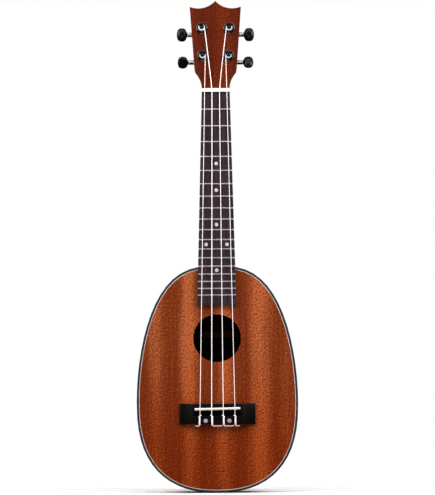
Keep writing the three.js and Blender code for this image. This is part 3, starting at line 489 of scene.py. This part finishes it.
# ---------------------------------------------------------------- making pieces


def make_object(name, builder):
    """A new object in the scene, from a bmesh whose faces are turned outwards first."""
    bmesh.ops.recalc_face_normals(builder, faces=builder.faces)
    mesh = bpy.data.meshes.new(name)
    builder.to_mesh(mesh)
    builder.free()
    made = bpy.data.objects.new(name, mesh)
    bpy.context.scene.collection.objects.link(made)
    return made


def piece(name, builder, material, body="instrument", smooth=True):
    """A new piece that rides on a CAD body."""
    made = make_object(name, builder)
    made.data.materials.append(material)
    for polygon in made.data.polygons:
        polygon.use_smooth = smooth
    if smooth:
        made.modifiers.new("split", "EDGE_SPLIT").split_angle = math.radians(40)
    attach(made, body)
    return made


def join_rings(builder, rings, closed=False):
    """Faces between rings of matching points. Returns the corners of each ring."""
    rows = [[builder.verts.new(point) for point in ring] for ring in rings]
    following = rows[1:] + rows[:1] if closed else rows[1:]
    for near, far in zip(rows, following):
        for i in range(len(near)):
            j = (i + 1) % len(near)
            builder.faces.new((near[i], near[j], far[j], far[i]))
    return rows


def add_capped(builder, rings):
    """A skin over rings of matching points, closed by a flat face at each end."""
    rows = join_rings(builder, rings)
    builder.faces.new(rows[0])
    builder.faces.new(reversed(rows[-1]))


def angles_round(steps):
    return [2 * math.pi * i / steps for i in range(steps)]


def turned(builder, profile, matrix, segments=24):
    """A solid of revolution: profile points are (radius, height), from one end of the axis to the other."""
    rings = []
    for radius, height in profile[1:-1]:
        spokes = [(radius * math.cos(angle), radius * math.sin(angle)) for angle in angles_round(segments)]
        rings.append([matrix @ Vector((x, y, height)) for x, y in spokes])
    rows = join_rings(builder, rings)
    for row, (_, height) in ((rows[0], profile[0]), (rows[-1], profile[-1])):
        tip = builder.verts.new(matrix @ Vector((0, 0, height)))
        for i in range(segments):
            builder.faces.new((row[i], row[(i + 1) % segments], tip))


def catmull_rom(before, start, end, after, share):
    """The point this share of the way from start to end, on a curve through all four points."""
    slope = (end - before) * share
    bend = (2 * before - 5 * start + 4 * end - after) * share**2
    twist = (3 * start - before - 3 * end + after) * share**3
    return 0.5 * (2 * start + slope + bend + twist)


def smooth_path(points, steps=6):
    """A smooth curve through the points, with this many steps between one and the next."""
    ends = [points[0], *points, points[-1]]
    path = []
    for corners in zip(ends, ends[1:], ends[2:], ends[3:]):
        path += [catmull_rom(*corners, i / steps) for i in range(steps)]
    return [*path, points[-1]]


def add_cord(builder, points, radius, sides=10):
    """A round cord along a smooth path through the points, a little thinner at its very ends."""
    path = smooth_path([Vector(point) for point in points])
    last = len(path) - 1
    normal = Vector((0.3, 0.5, 0.81))
    rings = []
    for i, point in enumerate(path):
        tangent = (path[min(i + 1, last)] - path[max(i - 1, 0)]).normalized()
        normal = (normal - tangent * normal.dot(tangent)).normalized()
        side = tangent.cross(normal)
        reach = radius * (0.6 if i in (0, last) else 1.0)
        spokes = [normal * math.cos(angle) + side * math.sin(angle) for angle in angles_round(sides)]
        rings.append([point + spoke * reach for spoke in spokes])
    add_capped(builder, rings)


def along_axis(point, axis):
    """A matrix that takes the z axis to the given axis through the point."""
    return Matrix.Translation(point) @ Vector(axis).to_track_quat("Z", "Y").to_matrix().to_4x4()


# ---------------------------------------------------------------- purfling

PURFLING_WIDTH = 0.75 * MM
PURFLING_PROUD = 0.05 * MM
PURFLING_SUNK = 0.3 * MM
PURFLING_GAP = 0.02 * MM  # to the binding


def front_edges():
    """The edges of the soundboard's front faces, as pairs of (x, z) corners in millimetres."""
    mesh = NODES["soundboard"].data
    for polygon in mesh.polygons:
        corners = [mesh.vertices[i].co for i in polygon.vertices]
        if all(corner.y < FACE_Y + 0.1 * MM for corner in corners):
            keys = [(round(corner.x / MM, 2), round(corner.z / MM, 2)) for corner in corners]
            yield from zip(keys, keys[1:] + keys[:1])


def take_loop(following):
    """Takes one closed chain out of a table that says which point follows which."""
    point = next(iter(following))
    loop = []
    while point in following:
        loop.append(point)
        point = following.pop(point)
    return loop


def board_outline():
    """The soundboard's outer edge in order: the longest loop of edges that only one front face uses."""
    uses = {}
    for edge in front_edges():
        uses.setdefault(frozenset(edge), []).append(edge)
    following = dict(edges[0] for edges in uses.values() if len(edges) == 1)
    loops = []
    while following:
        loops.append(take_loop(following))
    return [Vector((x * MM, 0, z * MM)) for x, z in max(loops, key=len)]


def purfling():
    """The pale line let into the soundboard just inside the binding."""
    edge = board_outline()
    top = Vector((0, FACE_Y - PURFLING_PROUD, 0))
    bottom = Vector((0, FACE_Y + PURFLING_SUNK, 0))
    rings = []
    for i, point in enumerate(edge):
        tangent = (edge[(i + 1) % len(edge)] - edge[i - 1]).normalized()
        inwards = Vector((tangent.z, 0, -tangent.x))
        if inwards.dot(point - middle("soundboard")) > 0:
            inwards = -inwards
        outer = point + inwards * PURFLING_GAP
        inner = point + inwards * PURFLING_WIDTH
        rings.append([outer + top, inner + top, inner + bottom, outer + bottom])
    builder = bmesh.new()
    join_rings(builder, rings, closed=True)
    piece("top_purfling", builder, PURFLING, smooth=False)


# ---------------------------------------------------------------- position dots

DOTTED_FRETS = (5, 7, 10, 12, 15)
OCTAVE = 12
DOT_RADIUS = 2.15 * MM
DOT_PAIR_OFFSET = 12.4 * MM
DOT_SUNK = 0.6 * MM
DOT_DOME = 0.08 * MM


def position_dots():
    """Pearl dots between the frets: single ones, and a pair at the octave."""
    rim = [(0, -DOT_SUNK), (DOT_RADIUS, -DOT_SUNK), (DOT_RADIUS, 0.25 * DOT_DOME)]
    profile = [*rim, (0.6 * DOT_RADIUS, 0.875 * DOT_DOME), (0, DOT_DOME)]
    for fret in DOTTED_FRETS:
        z = (middle(f"fret_{fret - 1:02d}").z + middle(f"fret_{fret:02d}").z) / 2
        offsets = (-DOT_PAIR_OFFSET, DOT_PAIR_OFFSET) if fret == OCTAVE else (0,)
        for i, x in enumerate(offsets):
            builder = bmesh.new()
            turned(builder, profile, along_axis(Vector((x, BOARD_Y, z)), (0, -1, 0)))
            piece(f"dot_{fret:02d}_{i + 1}", builder, PEARL)


# ---------------------------------------------------------------- string ties

STRING_RADIUS = 0.42 * MM
TIE_BLOCK_HEIGHT = 9.3 * MM
TIE_SIDESTEP = 1.1 * MM  # from a string to its own free end beside it
OUTER_TIE_REACH = 5.5 * MM
TIE_CLEARANCE = 1.2 * MM  # from the end of a tie to the next string


def string_x(name):
    """Where a string crosses the bridge: its low end never leaves that line."""
    low_end = [vertex.co for vertex in NODES[name].data.vertices if vertex.co.z < 0]
    return sum(point.x for point in low_end) / len(low_end)


def tie_path(x, outwards, reach):
    """A hitch round the string above the tie block, then down over the block and along the back of it."""
    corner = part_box("bridge")[0]
    block_top = corner.z + TIE_BLOCK_HEIGHT
    over = corner.y - 1.0 * MM
    behind = corner.z - 1.6 * MM
    side = TIE_SIDESTEP * outwards
    hitch = [
        (x - side, corner.y + 1.2 * MM, block_top + 1.6 * MM),
        (x - side, over + 0.2 * MM, block_top + 1.2 * MM),
        (x, over - 0.5 * MM, block_top + 0.9 * MM),
        (x + side, over - 0.1 * MM, block_top + 0.1 * MM),
    ]
    down_the_block = [
        (x + 0.8 * side, over - 0.2 * MM, block_top - 3.0 * MM),
        (x + side, over - 0.1 * MM, corner.z + 1.5 * MM),
    ]
    along_the_back = [
        (x + side, corner.y + 1.5 * MM, behind),
        (x + 2.0 * side, FACE_Y - 3.2 * MM, behind - 0.5 * MM),
        (x + outwards * 0.6 * reach, FACE_Y - 2.6 * MM, behind - 0.5 * MM),
        (x + outwards * reach, FACE_Y - 2.4 * MM, behind - 0.3 * MM),
    ]
    return hitch + down_the_block + along_the_back


def string_ties():
    """The free end of each string. The outer two end outwards, and the inner two lie towards the right."""
    places = [string_x(name) for name in STRING_NAMES]
    last = len(places) - 1
    for i, x in enumerate(places):
        outwards = -1 if i == 0 else 1
        reach = OUTER_TIE_REACH if i in (0, last) else abs(places[i + 1] - x) - TIE_CLEARANCE
        builder = bmesh.new()
        add_cord(builder, tie_path(x, outwards, reach), STRING_RADIUS)
        piece(f"tie_{STRING_NAMES[i]}", builder, NYLON)


# ---------------------------------------------------------------- screws

CASE_SCREW_RADIUS = 1.3 * MM
BUTTON_SCREW_RADIUS = 1.15 * MM
BUTTON_SCREW_SUNK = 0.3 * MM

# From the worm's point on its axis: to the back of the case, up to the case screw, and in to it.
CASE_BACK = 4.45 * MM
CASE_SCREW_UP = 9.6 * MM
CASE_SCREW_IN = 4.6 * MM


def cut_slot(head, matrix, radius):
    """Cuts a slot across the top of a screw head and makes the result the head's own mesh."""
    half_length = 1.5 * radius
    half_width = 0.13 * radius
    corners = [(-1, -1), (1, -1), (1, 1), (-1, 1)]
    rings = []
    for height in (0.25 * radius, 0.75 * radius):
        points = [(x * half_length, y * half_width, height) for x, y in corners]
        rings.append([matrix @ Vector(point) for point in points])
    builder = bmesh.new()
    add_capped(builder, rings)
    tool = make_object(head.name + "_slot", builder)
    cut = head.modifiers.new("slot", "BOOLEAN")
    cut.object = tool
    cut.operation = "DIFFERENCE"
    head.modifiers.move(len(head.modifiers) - 1, 0)
    bake(head)
    bpy.data.objects.remove(tool)


def bake(made):
    """Applies every modifier of a piece, so that its mesh is final."""
    graph = bpy.context.evaluated_depsgraph_get()
    final = bpy.data.meshes.new_from_object(made.evaluated_get(graph))
    made.modifiers.clear()
    made.data = final


def screw(name, point, axis, radius, body):
    """A small domed screw head with a slot across it."""
    matrix = along_axis(point, axis)
    rim = [(0, -0.4 * radius), (radius, -0.4 * radius), (radius, 0.1 * radius)]
    dome = [(radius * math.cos(angle), radius * (0.1 + 0.4 * math.sin(angle))) for angle in (0.4, 0.8, 1.2)]
    builder = bmesh.new()
    turned(builder, [*rim, *dome, (0, 0.5 * radius)], matrix, 20)
    cut_slot(piece(name, builder, CHROME, body), matrix, radius)


def tuner_screws():
    """One screw holds each case to the headstock, and one holds each button on its shaft."""
    for place in PLACES:
        post = JOINTS["post_turn_" + place]
        knob = JOINTS["knob_turn_" + place]
        side = 1 if post["pos_m"][0] > 0 else -1
        sideways = Vector((side, 0, 0))
        out = Vector(post["axis"])
        up = Vector((0, out.z, -out.y)).normalized()
        worm = Vector(knob["pos_m"])
        corner = worm - out * CASE_BACK + up * CASE_SCREW_UP - sideways * CASE_SCREW_IN
        screw("case_screw_" + place, corner, -out, CASE_SCREW_RADIUS, "instrument")
        low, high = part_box("tuner_button_" + place)
        end = Vector((high.x if side > 0 else low.x, worm.y, worm.z))
        sunk = end - sideways * BUTTON_SCREW_SUNK
        screw("button_screw_" + place, sunk, sideways, BUTTON_SCREW_RADIUS, "knob_" + place)


# ---------------------------------------------------------------- stage, light and camera

FLOOR_REACH = 14.0
FLOOR_GAP = 0.4 * MM  # under the instrument
FLOOR_FADE = (60.0, 600.0)  # millimetres from the origin


def floor_material():
    """Pale, and brighter further away until it is as white as the surroundings.

    It lights the instrument from below less than it shows, and doesn't appear in reflections.
    """
    tree = new_tree("floor_pale")
    x, y, z = tree.place()
    away = tree.math("SQRT", tree.plus(tree.times(x, x), tree.times(y, y)))
    seen = tree.add("ShaderNodeLightPath", {}, "Is Camera Ray")
    mirrored = tree.add("ShaderNodeLightPath", {}, "Is Glossy Ray")
    glow = tree.times(tree.between(away, *FLOOR_FADE), seen)
    grain = tree.between(tree.noise((x, y, z), 0.03, 3.0), 0.3, 0.7)
    tint = tree.mix(grain, linear(238, 238, 236), linear(244, 244, 242))
    hidden = tree.math("MAXIMUM", mirrored, tree.scaled(seen, -0.75, 0.75))
    tint = tree.mix(hidden, tint, BLACK)
    return tree.finish(
        Base_Color=tree.mix(glow, tint, BLACK),
        Roughness=0.9,
        Specular_IOR_Level=0.0,
        Emission_Color=WHITE,
        Emission_Strength=glow,
    )


def floor():
    """A plain floor just below the instrument."""
    level = CAD_BOX[0].z - FLOOR_GAP
    corners = ((-1, -1), (1, -1), (1, 1), (-1, 1))
    builder = bmesh.new()
    builder.faces.new([builder.verts.new((x * FLOOR_REACH, y * FLOOR_REACH, level)) for x, y in corners])
    made = make_object("floor", builder)
    made.data.materials.append(floor_material())


def surroundings():
    """White to the camera, a soft fill as a light, and nearly dark in reflections, as in a dark studio."""
    world = bpy.data.worlds.new("studio")
    bpy.context.scene.world = world
    world.use_nodes = True
    world.node_tree.nodes.clear()
    tree = NodeTree(world)
    shown = tree.add("ShaderNodeBackground", {"Color": WHITE, "Strength": 1.0})
    fill = tree.add("ShaderNodeBackground", {"Color": (1.0, 0.98, 0.96, 1.0), "Strength": 0.22})
    dim = tree.add("ShaderNodeBackground", {"Color": (0.97, 0.98, 1.0, 1.0), "Strength": 0.03})
    seen = tree.add("ShaderNodeLightPath", {}, "Is Camera Ray")
    mirrored = tree.add("ShaderNodeLightPath", {}, "Is Glossy Ray")
    unseen = tree.add("ShaderNodeMixShader", {0: mirrored, 1: fill, 2: dim})
    tree.end("ShaderNodeOutputWorld", tree.add("ShaderNodeMixShader", {0: seen, 1: unseen, 2: shown}))


def area_light(name, direction, distance, size, power):
    """A soft square light that shines at the middle of the instrument and isn't seen itself."""
    light = bpy.data.lights.new(name, "AREA")
    light.size = size
    light.energy = power
    made = bpy.data.objects.new(name, light)
    bpy.context.scene.collection.objects.link(made)
    away = Vector(direction).normalized()
    made.location = (CAD_BOX[0] + CAD_BOX[1]) / 2 + away * distance
    made.rotation_mode = "QUATERNION"
    made.rotation_quaternion = away.to_track_quat("Z", "Y")
    made.visible_camera = False


def lights():
    """Two keys from above in front, a top light, small cards for glints, and two large lights behind."""
    area_light("key_left", (-1.0, -0.9, 1.0), 1.2, 0.8, 10.5)
    area_light("key_right", (1.0, -0.9, 0.9), 1.3, 0.8, 12.5)
    area_light("top", (0.0, -0.35, 1.0), 1.4, 1.1, 6.0)
    area_light("card_left", (-1.0, -0.5, -0.35), 1.1, 0.35, 2.0)
    area_light("card_right", (1.0, -0.5, -0.35), 1.1, 0.35, 2.0)
    area_light("card_front", (0.0, -1.0, 0.2), 1.2, 0.12, 0.25)
    area_light("back_left", (-0.9, 1.0, 0.5), 2.2, 2.0, 26.0)
    area_light("back_right", (0.9, 1.0, 0.5), 2.2, 2.0, 26.0)


CAMERA_DISTANCE = 8.0
CAMERA_ROLL = math.radians(0.32)
VIEW_HEIGHT = 0.5893  # of what the picture shows at the fretboard's face
AIM = Vector((0.0011, BOARD_Y, 0.1921))


def camera():
    """Far off with a long lens, square on to the soundboard, rolled a hair so that the neck leans left."""
    data = bpy.data.cameras.new("camera")
    data.sensor_width = 36.0
    data.lens = data.sensor_width * CAMERA_DISTANCE / VIEW_HEIGHT
    data.clip_end = 40.0
    made = bpy.data.objects.new("camera", data)
    bpy.context.scene.collection.objects.link(made)
    place = Matrix.Translation(AIM - Vector((0, CAMERA_DISTANCE, 0)))
    upright_turn = Matrix.Rotation(math.pi / 2, 4, "X")
    roll = Matrix.Rotation(-CAMERA_ROLL, 4, "Z")
    made.matrix_world = place @ upright_turn @ roll
    bpy.context.scene.camera = made


# ---------------------------------------------------------------- scene

dress_cad_nodes()
purfling()
position_dots()
string_ties()
tuner_screws()
floor()
surroundings()
lights()
camera()
bpy.context.scene.view_settings.view_transform = "Standard"
